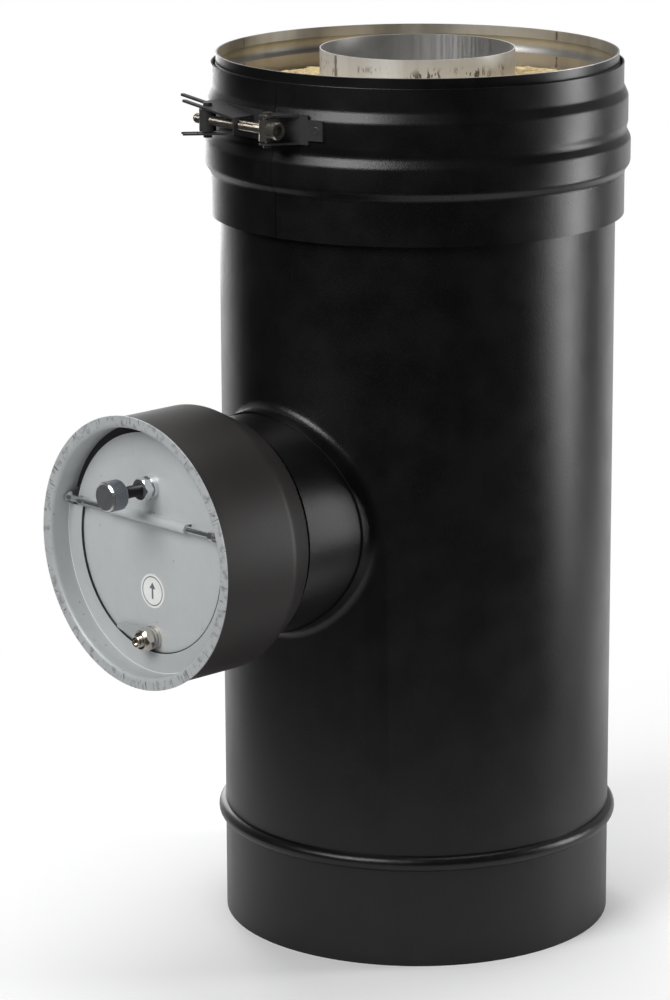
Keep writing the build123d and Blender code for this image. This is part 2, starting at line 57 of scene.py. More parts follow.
MM = 0.001
FULL_TURN = 2 * math.pi
QUARTER_TURN = math.radians(90)

JACKET_R = 100.0 * MM
JACKET_TOP = 450.0 * MM
JACKET_INSIDE = 100.3 * MM
LIP_LOW = 437.5 * MM
LINER_R = 49.0 * MM
WOOL_TOP = 430.0 * MM
WOOL_OUTER = 94.6 * MM
BRANCH_Z = 225.0 * MM
RIM_INSIDE = 62.6 * MM
FLAP_FRONT = 180.7 * MM
FLAP_BACK = 179.5 * MM
SPINDLE_V = 31.0 * MM
SPINDLE_END = 203.5 * MM
WEIGHT_START = 200.5 * MM
WEIGHT_LENGTH = 9.7 * MM
WEIGHT_R = 7.5 * MM
LOCK_V = -44.5 * MM
LOCK_END = 192.5 * MM
CLAMP_ANGLE = math.radians(-1.0)
CLAMP_Z = 424.0 * MM
BOLT_Y = -115.0 * MM
PHOTO_TURN = math.radians(45.19)

# Noise seldom leaves this range, so it is stretched to the full one.
NOISE_RANGE = (0.3, 0.7)
PIECE_CREASE = math.radians(32)
NODE_CREASE = math.radians(30)
WELD_REACH = 0.001 * MM

THREAD_DEPTH = 0.6
THREAD_CREST = 1.35
STEPS_A_TURN = 8
HEAD_CHAMFER = 0.14
KEY_WIDTH = 0.52
KEY_DEPTH = 0.5


class Slot(Enum):
    """Material slots of the record."""

    BLACK_COAT = "black_coat"
    CLAMP_BLACK = "clamp_black"
    CASING_COAT = "casing_coat"
    STAINLESS = "stainless"
    WOOL = "wool"
    GALVANISED = "galvanised"
    BRIGHT_ZINC = "bright_zinc"
    WEIGHT_STEEL = "weight_steel"
    NICKEL = "nickel"


class Head(Enum):
    """Shape of the head at the start of a threaded rod."""

    NONE = 0
    HEXAGON = 1
    SOCKET = 2


class Tree:
    """Adds and wires nodes in one node tree."""

    def __init__(self, tree: bpy.types.NodeTree) -> None:
        """Keep the tree that nodes go into."""
        self.tree = tree

    def node(self, kind: str, feeds: dict[str | int, object] | None = None,
             **settings: object) -> bpy.types.Node:
        """Add a node.

        Args:
            kind: Blender's type name of the node.
            feeds: Its inputs, by name or index, and what goes into them.
            settings: Attributes to set on it.

        Returns:
            The new node.
        """
        made = self.tree.nodes.new(kind)
        for name, value in settings.items():
            setattr(made, name, value)
        for key, value in (feeds or {}).items():
            self.feed(made.inputs[key], value)
        return made

    def feed(self, socket: Socket, value: object) -> None:
        """Link an input to an output, or set its own value.

        Args:
            socket: The input.
            value: Another node's output, or a plain value.
        """
        if isinstance(value, Socket):
            self.tree.links.new(value, socket)
        else:
            socket.default_value = value

    def math(self, operation: str, *values: object, clamp: bool = False) -> Socket:
        """Add a maths node.

        Args:
            operation: Its operation.
            values: Its inputs in order.
            clamp: Whether the result stays between 0 and 1.

        Returns:
            The result.
        """
        return self.node("ShaderNodeMath", dict(enumerate(values)), operation=operation,
                         use_clamp=clamp).outputs[0]

    def times(self, first: object, *others: object) -> Socket:
        """Multiply values.

        Args:
            first: The first value.
            others: The values that it is multiplied by.

        Returns:
            The product.
        """
        for value in others:
            first = self.math("MULTIPLY", first, value)
        return first

    def largest(self, first: object, *others: object) -> Socket:
        """Give the largest of some values.

        Args:
            first: The first value.
            others: The values that it is compared with.

        Returns:
            The largest.
        """
        for value in others:
            first = self.math("MAXIMUM", first, value)
        return first

    def vector_math(self, operation: str, *values: object, output: str = "Vector") -> Socket:
        """Add a vector maths node.

        Args:
            operation: Its operation.
            values: Its vector inputs in order.
            output: Which of its outputs to use.

        Returns:
            The result.
        """
        return self.node("ShaderNodeVectorMath", dict(enumerate(values)),
                         operation=operation).outputs[output]

    def dot(self, first: object, second: object) -> Socket:
        """Give the dot product of two vectors."""
        return self.vector_math("DOT_PRODUCT", first, second, output="Value")

    def axes(self, vector: Socket) -> bpy.types.NodeOutputs:
        """Split a vector into its X, Y and Z."""
        return self.node("ShaderNodeSeparateXYZ", {0: vector}).outputs

    def noise(self, vector: object, scale: object, detail: float = 2.0) -> Socket:
        """Add a noise texture.

        Args:
            vector: Where it is read.
            scale: Its scale.
            detail: Its number of octaves.

        Returns:
            The noise value.
        """
        return self.node("ShaderNodeTexNoise",
                         {"Vector": vector, "Scale": scale, "Detail": detail}).outputs[0]

    def cells(self, vector: object, scale: object) -> tuple[Socket, Socket]:
        """Add a cell texture.

        Args:
            vector: Where it is read.
            scale: Its scale.

        Returns:
            The distance from the cell's centre, and a random number for the cell.
        """
        made = self.node("ShaderNodeTexVoronoi", {"Vector": vector, "Scale": scale})
        part = self.node("ShaderNodeSeparateColor", {0: made.outputs["Color"]})
        return made.outputs["Distance"], part.outputs[0]

    def span(self, value: object, low: object, high: object, to_low: float = 0.0,
             to_high: float = 1.0) -> Socket:
        """Map a value from one range to another, with a smooth step.

        Args:
            value: The value.
            low: Where the range starts.
            high: Where the range ends.
            to_low: Result at the start.
            to_high: Result at the end.

        Returns:
            The mapped value.
        """
        feeds = {"Value": value, "From Min": low, "From Max": high, "To Min": to_low,
                 "To Max": to_high}
        return self.node("ShaderNodeMapRange", feeds, interpolation_type="SMOOTHSTEP").outputs[0]

    def blend(self, factor: object, first: object, second: object) -> Socket:
        """Mix two colours.

        Args:
            factor: Share of the second.
            first: The first colour.
            second: The second colour.

        Returns:
            The mixed colour.
        """
        feeds = {0: factor, 6: opaque(first), 7: opaque(second)}
        return self.node("ShaderNodeMix", feeds, data_type="RGBA").outputs[2]

    def weigh(self, factor: object, first: object, second: object) -> Socket:
        """Mix two numbers.

        Args:
            factor: Share of the second.
            first: The first number.
            second: The second number.

        Returns:
            The mixed number.
        """
        feeds = {0: factor, 2: first, 3: second}
        return self.node("ShaderNodeMix", feeds, data_type="FLOAT").outputs[0]

    def group(self, name: str, **inputs: object) -> bpy.types.NodeOutputs:
        """Add one of the shared node groups.

        Args:
            name: The group's key in EFFECTS.
            inputs: Values or outputs for its inputs.

        Returns:
            The group's outputs.
        """
        return self.node("ShaderNodeGroup", inputs, node_tree=EFFECTS[name].tree()).outputs

    def rays(self, *kinds: str) -> Socket:
        """Say whether a ray is of one of some kinds.

        Args:
            kinds: Names of the Light Path outputs.

        Returns:
            1 for such a ray and 0 for others.
        """
        path = self.node("ShaderNodeLightPath")
        return self.largest(*[path.outputs[kind] for kind in kinds])

    def bump(self, height: object, strength: float, distance: float) -> Socket:
        """Turn a height into a normal.

        Args:
            height: The height value.
            strength: Share of the effect.
            distance: Depth in metres.

        Returns:
            The normal.
        """
        feeds = {"Height": height, "Strength": strength, "Distance": distance}
        return self.node("ShaderNodeBump", feeds).outputs["Normal"]


def opaque(value: object) -> object:
    """Give a plain colour its fourth number, and pass other values through."""
    return (*value, 1.0) if isinstance(value, tuple) and len(value) == 3 else value


@dataclass(frozen=True)
class Effect:
    """A shared node group that takes a vector and numbers, and puts out numbers."""

    name: str
    inputs: Sequence[str]
    outputs: Sequence[str]
    wire: Callable[[Tree, Sockets], Sockets]

    def tree(self) -> bpy.types.NodeTree:
        """Give the group's tree, made on first use.

        Returns:
            The tree.
        """
        if self.name in bpy.data.node_groups:
            return bpy.data.node_groups[self.name]
        made = bpy.data.node_groups.new(self.name, "ShaderNodeTree")
        sockets = [("Vector", "INPUT", "NodeSocketVector")]
        sockets += [(label, "INPUT", "NodeSocketFloat") for label in self.inputs]
        sockets += [(label, "OUTPUT", "NodeSocketFloat") for label in self.outputs]
        for label, side, kind in sockets:
            made.interface.new_socket(name=label, in_out=side, socket_type=kind)
        tree = Tree(made)
        entry = tree.node("NodeGroupInput")
        results = self.wire(tree, {socket.name: socket for socket in entry.outputs if socket.name})
        tree.node("NodeGroupOutput", results)
        return made


def wire_grain(tree: Tree, ins: Sockets) -> Sockets:
    """Wire fine grain: a height for the surface and a slow change of tone.

    Args:
        tree: The group's tree.
        ins: The group's inputs.

    Returns:
        The group's outputs.
    """
    slow = tree.times(ins["Scale"], 0.03)
    return {"Height": tree.noise(ins["Vector"], ins["Scale"], 3.0),
            "Tone": tree.noise(ins["Vector"], slow, 4.0)}


def wire_smudges(tree: Tree, ins: Sockets) -> Sockets:
    """Wire soft smudges from handling, broken up by a finer noise.

    Args:
        tree: The group's tree.
        ins: The group's inputs.

    Returns:
        The group's outputs.
    """
    wide = tree.span(tree.noise(ins["Vector"], ins["Scale"], 5.0), 0.48, 0.72)
    finer = tree.times(ins["Scale"], 6.0)
    broken = tree.span(tree.noise(ins["Vector"], finer, 3.0), *NOISE_RANGE)
    return {"Mask": tree.times(wide, broken)}


def wire_specks(tree: Tree, ins: Sockets) -> Sockets:
    """Wire small scattered specks of uneven size.

    Args:
        tree: The group's tree.
        ins: The group's inputs.

    Returns:
        The group's outputs.
    """
    distance, lot = tree.cells(ins["Vector"], ins["Scale"])
    chance = tree.span(lot, tree.math("SUBTRACT", 1.0, ins["Amount"]), 1.0)
    return {"Mask": tree.math("LESS_THAN", distance, tree.times(chance, 0.45))}


def wire_streaks(tree: Tree, ins: Sockets) -> Sockets:
    """Wire streaks that run along Z.

    Args:
        tree: The group's tree.
        ins: The group's inputs.

    Returns:
        The group's outputs.
    """
    scales = dict(enumerate((ins["Across"], ins["Across"], ins["Along"])))
    scale = tree.node("ShaderNodeCombineXYZ", scales).outputs[0]
    return {"Value": tree.noise(tree.vector_math("MULTIPLY", ins["Vector"], scale), 1.0, 4.0)}


def wire_inward(tree: Tree, ins: Sockets) -> Sockets:
    """Wire a mask of the faces that look towards the pipe's axis.

    Args:
        tree: The group's tree.
        ins: The group's inputs.

    Returns:
        The group's outputs.
    """
    flat = tree.vector_math("MULTIPLY", ins["Vector"], (1.0, 1.0, 0.0))
    normal = tree.node("ShaderNodeNewGeometry").outputs["True Normal"]
    facing = tree.dot(tree.vector_math("NORMALIZE", flat), normal)
    return {"Mask": tree.math("LESS_THAN", facing, -0.3)}


def wire_branch(tree: Tree, ins: Sockets) -> Sockets:
    """Wire the distance from the branch's axis and the angle about it.

    Args:
        tree: The group's tree.
        ins: The group's inputs.

    Returns:
        The group's outputs.
    """
    axes = tree.axes(tree.vector_math("SUBTRACT", ins["Vector"], (0.0, 0.0, BRANCH_Z)))
    across, up = axes["X"], axes["Z"]
    square = tree.math("ADD", tree.times(across, across), tree.times(up, up))
    return {"Radius": tree.math("SQRT", square), "Angle": tree.math("ARCTAN2", up, across)}


EFFECTS: dict[str, Effect] = {
    "grain": Effect("fine_grain", ["Scale"], ["Height", "Tone"], wire_grain),
    "smudges": Effect("smudges", ["Scale"], ["Mask"], wire_smudges),
    "specks": Effect("specks", ["Scale", "Amount"], ["Mask"], wire_specks),
    "streaks": Effect("streaks", ["Across", "Along"], ["Value"], wire_streaks),
    "inward": Effect("inward", [], ["Mask"], wire_inward),
    "branch": Effect("branch_polar", [], ["Radius", "Angle"], wire_branch),
}


@dataclass
class Surface:
    """A new material with its tree, its shader and the place on the object."""

    material: bpy.types.Material
    tree: Tree
    shader: bpy.types.Node
    place: Socket

    @classmethod
    def start(cls, name: str) -> "Surface":
        """Make a material that has a Principled shader and nothing else.

        Args:
            name: The material's name.

        Returns:
            The surface.
        """
        material = bpy.data.materials.new(name)
        material.use_nodes = True
        material.node_tree.nodes.clear()
        tree = Tree(material.node_tree)
        shader = tree.node("ShaderNodeBsdfPrincipled")
        tree.node("ShaderNodeOutputMaterial", {"Surface": shader.outputs[0]})
        place = tree.node("ShaderNodeTexCoord").outputs["Object"]
        return cls(material, tree, shader, place)

    def group(self, name: str, **inputs: object) -> bpy.types.NodeOutputs:
        """Add a shared node group that reads the place on the object.

        Args:
            name: The group's key in EFFECTS.
            inputs: Values or outputs for its other inputs.

        Returns:
            The group's outputs.
        """
        return self.tree.group(name, Vector=self.place, **inputs)

    def height(self) -> Socket:
        """Give the height on the object."""
        return self.tree.axes(self.place)["Z"]

    def put(self, **values: object) -> None:
        """Set or link the shader's inputs.

        Args:
            values: Input names, with an underscore for each space, and their values.
        """
        for name, value in values.items():
            self.tree.feed(self.shader.inputs[name.replace("_", " ")], opaque(value))


@dataclass(frozen=True)
class Finish:
    """What every finish has: a name, and a way to its material."""

    name: str

    def make(self) -> bpy.types.Material:
        """Build the material.

        Returns:
            The material.
        """
        surface = Surface.start(self.name)
        self.paint(surface)
        return surface.material

    def paint(self, surface: Surface) -> None:
        """Wire the finish.

        Args:
            surface: The new material's surface.
        """
        raise NotImplementedError


@dataclass(frozen=True)
class PowderCoat(Finish):
    """Paint with a fine grain, that may leave the inside of a pipe bare."""

    colour: Colour
    dust_and_glints: Colour
    roughness: float
    grain_scale: float = 1000.0
    depth: float = 0.0001
    bare_inside: bool = False

    def paint(self, surface: Surface) -> None:
        """Wire the paint, and the bare steel where there is some.

        Args:
            surface: The new material's surface.
        """
        tree = surface.tree
        grain = surface.group("grain", Scale=self.grain_scale)
        tone = tree.span(grain["Tone"], *NOISE_RANGE, 0.0, 0.2)
        # sparkle lightens the paint at the peaks of the fine grain: painted glints; tone is a slow
        # random change of colour
        sparkle = tree.span(grain["Height"], 0.55, 0.75, 0.0, 0.6)
        colour = tree.blend(tree.math("ADD", tone, sparkle, clamp=True), self.colour, self.dust_and_glints)
        rough = tree.span(grain["Tone"], *NOISE_RANGE, self.roughness - 0.02,
                          self.roughness + 0.02)
        surface.put(Normal=tree.bump(grain["Height"], 0.6, self.depth))
        if self.bare_inside:
            bare = self.bare(surface)
            colour = tree.blend(bare, colour, self.steel(surface))
            rough = tree.weigh(bare, rough, 0.4)
            surface.put(Metallic=tree.times(bare, 0.85))
        surface.put(Base_Color=colour, Roughness=rough)

    @staticmethod
    def steel(surface: Surface) -> Socket:
        """Colour of the bare steel, brighter on the lip at the upper end as painted highlight, and
        warmer below the lip as a painted reflection of the wool.

        Args:
            surface: The material's surface.

        Returns:
            The colour.
        """
        tree = surface.tree
        streaks = surface.group("streaks", Across=30.0, Along=10.0)
        wear_and_glare = tree.span(streaks["Value"], 0.35, 0.7)
        # On the lip the streaks are lighter and of higher contrast: painted highlight. Below it
        # the steel is tinted warm: painted reflection of the wool. The streaks are partly wear and
        # partly painted glare.
        on_lip = tree.math("GREATER_THAN", surface.height(), LIP_LOW)
        return tree.blend(on_lip, tree.blend(wear_and_glare, (0.52, 0.49, 0.45), (0.36, 0.335, 0.30)),
                          tree.blend(wear_and_glare, (0.56, 0.56, 0.55), (0.28, 0.275, 0.27)))

    @staticmethod
    def bare(surface: Surface) -> Socket:
        """Mask of the pipe's inner side and of its upper edge.

        Args:
            surface: The material's surface.

        Returns:
            The mask.
        """
        tree = surface.tree
        edge = tree.math("GREATER_THAN", surface.height(), JACKET_TOP - 0.2 * MM)
        return tree.largest(surface.group("inward")["Mask"], edge)


@dataclass(frozen=True)
class StainlessSheet(Finish):
    """Rolled stainless sheet with faint streaks, and stains where it leaves the wool."""

    colour: Colour
    shade: Colour
    stain: Colour
    roughness: float

    def paint(self, surface: Surface) -> None:
        """Wire the streaks, smudges and stains, and the painted shade on the inner side.

        Args:
            surface: The new material's surface.
        """
        tree = surface.tree
        wide = surface.group("streaks", Across=55.0, Along=3.0)
        hair = surface.group("streaks", Across=700.0, Along=14.0)["Value"]
        smudges = surface.group("smudges", Scale=60.0)
        inside = surface.group("inward")["Mask"]
        colour = tree.blend(tree.span(wide["Value"], 0.4, 0.66), self.colour, self.shade)
        colour = tree.blend(tree.times(smudges["Mask"], 0.25), colour, self.shade)
        colour = tree.blend(self.low_stains(surface, inside), colour, self.stain)
        # The inner side is blended 60 % towards the shade colour: painted shade inside the tube.
        surface.put(
            Base_Color=tree.blend(tree.times(inside, 0.6), colour, self.shade),
            Roughness=tree.span(hair, 0.35, 0.65, self.roughness - 0.05, self.roughness + 0.06),
            Normal=tree.bump(hair, 0.12, 0.04 * MM),
            Metallic=tree.weigh(inside, 0.6, 1.0))

    @staticmethod
    def low_stains(surface: Surface, inside: Socket) -> Socket:
        """Mask of short dark runs on the outside, below the upper edge.

        Args:
            surface: The material's surface.
            inside: Mask of the inner side.

        Returns:
            The mask.
        """
        tree = surface.tree
        low = tree.span(surface.height(), WOOL_TOP + 18.5 * MM, WOOL_TOP + 14 * MM)
        runs = surface.group("streaks", Across=480.0, Along=190.0)
        marks = tree.span(runs["Value"], 0.53, 0.58, 0.0, 0.9)
        clusters = tree.span(tree.noise(surface.place, 55.0), 0.44, 0.56)
        return tree.times(marks, clusters, low, tree.math("SUBTRACT", 1.0, inside))


@dataclass(frozen=True)
class ZincSheet(Finish):
    """Matt galvanised sheet with a faint spangle and specks, and nicks on a worn rim."""

    colour: Colour
    shade: Colour
    wear: float
    roughness: float = 0.46
    nicked_rim: bool = False
    gap_shadow_radius: float = 0.0
    corner_highlight_radius: float = 0.0

    def paint(self, surface: Surface) -> None:
        """Wire the spangle, the wear, and the painted gap shadow and corner highlight.

        Args:
            surface: The new material's surface.
        """
        tree = surface.tree
        grain = surface.group("grain", Scale=1100.0)
        _, spangle = tree.cells(surface.place, 320.0)
        cloud = tree.span(grain["Tone"], *NOISE_RANGE, 0.0, 0.6)
        tone = tree.math("ADD", tree.times(spangle, 0.14), cloud, clamp=True)
        colour = tree.blend(tone, self.colour, self.shade)
        specks = surface.group("specks", Scale=700.0, Amount=self.wear)
        colour = tree.blend(tree.times(specks["Mask"], 0.4), colour, (0.16, 0.16, 0.16))
        if self.nicked_rim:
            colour = tree.blend(self.nicks(surface), colour, (0.07, 0.07, 0.074))
        # Painted light on a seat ring: a near-black band inside the first radius stands for the
        # shadow in the gap at the flap's edge, and a near-white band outside the second is a
        # painted highlight where the seat meets the mouth wall.
        if self.gap_shadow_radius:
            radius = surface.group("branch")["Radius"]
            cut = tree.math("LESS_THAN", radius, self.gap_shadow_radius)
            colour = tree.blend(cut, colour, (0.012, 0.012, 0.012))
            corner_highlight = tree.math("GREATER_THAN", radius, self.corner_highlight_radius)
            colour = tree.blend(corner_highlight, colour, (0.88, 0.89, 0.89))
        smudges = surface.group("smudges", Scale=38.0)
        surface.put(
            Base_Color=tree.blend(tree.times(smudges["Mask"], 0.3), colour, self.colour),
            Roughness=tree.span(grain["Tone"], *NOISE_RANGE, self.roughness - 0.05,
                                self.roughness + 0.05),
            Normal=tree.bump(grain["Height"], 0.3, 0.05 * MM),
            Metallic=0.25)

    @staticmethod
    def nicks(surface: Surface) -> Socket:
        """Mask of short dark nicks across the regulator's front rim.

        Args:
            surface: The material's surface.

        Returns:
            The mask.
        """
        tree = surface.tree
        polar = surface.group("branch")
        radius = polar["Radius"]
        stretched = {"X": tree.times(polar["Angle"], 70.0), "Y": tree.times(radius, 130.0)}
        spot = tree.node("ShaderNodeCombineXYZ", stretched).outputs[0]
        lines = tree.span(tree.noise(spot, 1.0, 3.0), 0.62, 0.66, 0.0, 0.85)
        blotch = tree.span(tree.noise(surface.place, 260.0, 3.0), 0.5, 0.7, 0.0, 0.45)
        on_rim = tree.math("GREATER_THAN", radius, RIM_INSIDE)
        return tree.times(tree.largest(lines, blotch), on_rim)


@dataclass(frozen=True)
class BrightMetal(Finish):
    """Plated or polished metal with fine turning marks."""

    colour: Colour
    shade: Colour
    roughness: float
    specks: float = 0.05
    metallic: float = 0.85

    def paint(self, surface: Surface) -> None:
        """Wire the metal with its specks and smudges.

        Args:
            surface: The new material's surface.
        """
        tree = surface.tree
        grain = surface.group("grain", Scale=2600.0)
        smudges = surface.group("smudges", Scale=160.0)
        specks = surface.group("specks", Scale=900.0, Amount=self.specks)
        tone = tree.span(grain["Tone"], 0.32, 0.68, 0.0, 0.45)
        colour = tree.blend(tone, self.colour, self.shade)
        surface.put(
            Base_Color=tree.blend(tree.times(specks["Mask"], 0.35), colour, (0.08, 0.075, 0.07)),
            Roughness=tree.weigh(smudges["Mask"], self.roughness, self.roughness + 0.08),
            Normal=tree.bump(grain["Height"], 0.12, 0.015 * MM),
            Metallic=self.metallic)


@dataclass(frozen=True)
class MineralWool(Finish):
    """Matted fibres, paler where they stand up and darker in the hollows: painted shade."""

    pale: Colour
    hollow_shade: Colour

    def paint(self, surface: Surface) -> None:
        """Wire the clumps and fibres.

        Args:
            surface: The new material's surface.
        """
        tree = surface.tree
        grain = surface.group("grain", Scale=900.0)
        fibres = surface.group("streaks", Across=260.0, Along=1400.0)
        clumps = tree.noise(surface.place, 300.0, 6.0)
        # The clumps set both the tone and the bump, so the wool is darker in its hollows and paler
        # on its lumps: painted shade.
        tone = tree.times(tree.span(clumps, *NOISE_RANGE), tree.span(fibres["Value"], 0.25, 0.7))
        surface.put(
            Base_Color=tree.blend(tone, self.hollow_shade, self.pale),
            Normal=tree.bump(tree.math("ADD", grain["Height"], clumps), 0.8, 0.6 * MM),
            Roughness=0.95, Sheen_Weight=0.2)


@dataclass(frozen=True)
class Sticker(Finish):
    """Smooth coated paper or its print."""

    colour: Colour
    shade: Colour

    def paint(self, surface: Surface) -> None:
        """Wire the faint tone and the smudges.

        Args:
            surface: The new material's surface.
        """
        tree = surface.tree
        grain = surface.group("grain", Scale=3200.0)
        smudges = surface.group("smudges", Scale=120.0)
        tone = tree.span(grain["Tone"], *NOISE_RANGE, 0.0, 0.6)
        surface.put(Base_Color=tree.blend(tone, self.colour, self.shade),
                    Roughness=tree.weigh(smudges["Mask"], 0.35, 0.5))


FINISHES: dict[Slot, Finish] = {
    Slot.BLACK_COAT: PowderCoat(
        "black_coat", (0.0042, 0.0042, 0.0047), (0.016, 0.016, 0.017), 0.32, 1700.0, 0.00014,
        bare_inside=True),
    Slot.CLAMP_BLACK: PowderCoat(
        "clamp_black", (0.024, 0.024, 0.025), (0.07, 0.068, 0.065), 0.38, 1800.0),
    Slot.CASING_COAT: PowderCoat(
        "casing_coat", (0.017, 0.0142, 0.0134), (0.027, 0.0228, 0.0214), 0.5, 1300.0, 0.00008),
    Slot.STAINLESS: StainlessSheet(
        "stainless", (0.84, 0.85, 0.855), (0.70, 0.68, 0.655), (0.10, 0.08, 0.065), 0.4),
    Slot.WOOL: MineralWool("wool", (0.81, 0.66, 0.38), (0.46, 0.34, 0.15)),
    Slot.GALVANISED: ZincSheet(
        "galvanised", (0.61, 0.635, 0.645), (0.54, 0.56, 0.565), 0.008),
    Slot.BRIGHT_ZINC: BrightMetal(
        "bright_zinc", (0.82, 0.84, 0.85), (0.66, 0.68, 0.69), 0.17, 0.02, 0.9),
    Slot.WEIGHT_STEEL: BrightMetal(
        "weight_steel", (0.27, 0.285, 0.31), (0.15, 0.16, 0.175), 0.34),
    Slot.NICKEL: BrightMetal(
        "nickel", (0.68, 0.63, 0.56), (0.44, 0.40, 0.35), 0.2, 0.02, 0.93),
}

NODE_FINISHES: dict[str, Finish] = {
    "mouth_ring": ZincSheet(
        "galvanised_rim", (0.54, 0.56, 0.57), (0.46, 0.48, 0.485), 0.03, nicked_rim=True),
    # The lower seat gets a painted gap shadow at its inner edge and a painted highlight at its
    # outer edge.
    "lower_seat_ring": ZincSheet(
        "galvanised_seat", (0.57, 0.59, 0.60), (0.50, 0.52, 0.525), 0.01,
        gap_shadow_radius=51.45 * MM, corner_highlight_radius=60.95 * MM),
    "locking_tab": ZincSheet(
        "galvanised_tab", (0.50, 0.52, 0.53), (0.38, 0.40, 0.405), 0.03),
    # The upper seat is coloured near-black: painted shade behind the flap.
    "upper_seat_ring": ZincSheet(
        "shaded_zinc", (0.035, 0.036, 0.037), (0.022, 0.022, 0.023), 0.02, 0.6),
}


class Palette:
    """Makes each material once."""

    def __init__(self) -> None:
        """Start with no materials."""
        self.made: dict[str, bpy.types.Material] = {}

    def of(self, finish: Finish) -> bpy.types.Material:
        """Give a finish's material.

        Args:
            finish: The finish.

        Returns:
            The material, made on first use.
        """
        if finish.name not in self.made:
            self.made[finish.name] = finish.make()
        return self.made[finish.name]

    def slot(self, slot: Slot) -> bpy.types.Material:
        """Give the material of a record slot."""
        return self.of(FINISHES[slot])


def piece_from(name: str, mesh: Mesh, body: str, slot: Slot,
               materials: Sequence[bpy.types.Material],
               place: Matrix = Matrix.Identity(4)) -> bpy.types.Object:
    """Turn a bmesh into a piece of the part.

    Args:
        name: The piece's name.
        mesh: Its geometry, freed here.
        body: The body that it rides on.
        slot: Its record slot; not used.
        materials: Its materials, by face index.
        place: Where it goes in the part's frame.

    Returns:
        The new object.
    """
    bmesh.ops.transform(mesh, matrix=place, verts=mesh.verts)
    bmesh.ops.recalc_face_normals(mesh, faces=mesh.faces)
    data = bpy.data.meshes.new(name)
    for face in mesh.faces:
        face.smooth = True
    mesh.to_mesh(data)
    mesh.free()
    for material in materials:
        data.materials.append(material)
    data.set_sharp_from_angle(angle=PIECE_CREASE)
    made = bpy.data.objects.new(name, data)
    bpy.context.scene.collection.objects.link(made)
    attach(made, body)
    LOG.info("%s: %d faces on %s", name, len(data.polygons), body)
    return made


def grid_faces(mesh: Mesh, rows: Sequence[Row],
               index: Callable[[int], int] = lambda level: 0) -> None:
    """Join rows of points, each closed on itself, into faces.

    Args:
        mesh: The mesh that holds the points.
        rows: The rows, all of one length.
        index: Material index for the faces after a row.
    """
    for level, (low, high) in enumerate(zip(rows, rows[1:])):
        count = len(low)
        for i in range(count):
            j = (i + 1) % count
            face = mesh.faces.new((low[i], low[j], high[j], high[i]))
            face.material_index = index(level)


def ring_rows(mesh: Mesh, count: int, levels: Sequence[tuple[float, Radius]]) -> list[Row]:
    """Add closed rows of points about Z.

    Args:
        mesh: The mesh to add to.
        count: How many points each row has.
        levels: Each row's height, and its radius or its radius at an angle.

    Returns:
        The rows.
    """
    angles = [FULL_TURN * i / count for i in range(count)]
    rows = []
    for z, radius in levels:
        reach = [radius(a) if callable(radius) else radius for a in angles]
        rows.append([mesh.verts.new((r * math.cos(a), r * math.sin(a), z))
                     for a, r in zip(angles, reach)])
    return rows


def branch_place(v: float) -> Matrix:
    """Frame on the branch axis raised by v, with its Z out of the branch."""
    return (Matrix.Translation((0.0, 0.0, BRANCH_Z + v))
            @ Matrix.Rotation(QUARTER_TURN, 4, "X"))


def bolt_place() -> Matrix:
    """Frame on the clamp bolt's axis, with its Z towards the bolt's head."""
    along = Matrix.Translation((0.0, BOLT_Y, CLAMP_Z)) @ Matrix.Rotation(QUARTER_TURN, 4, "Y")
    return Matrix.Rotation(CLAMP_ANGLE, 4, "Z") @ along


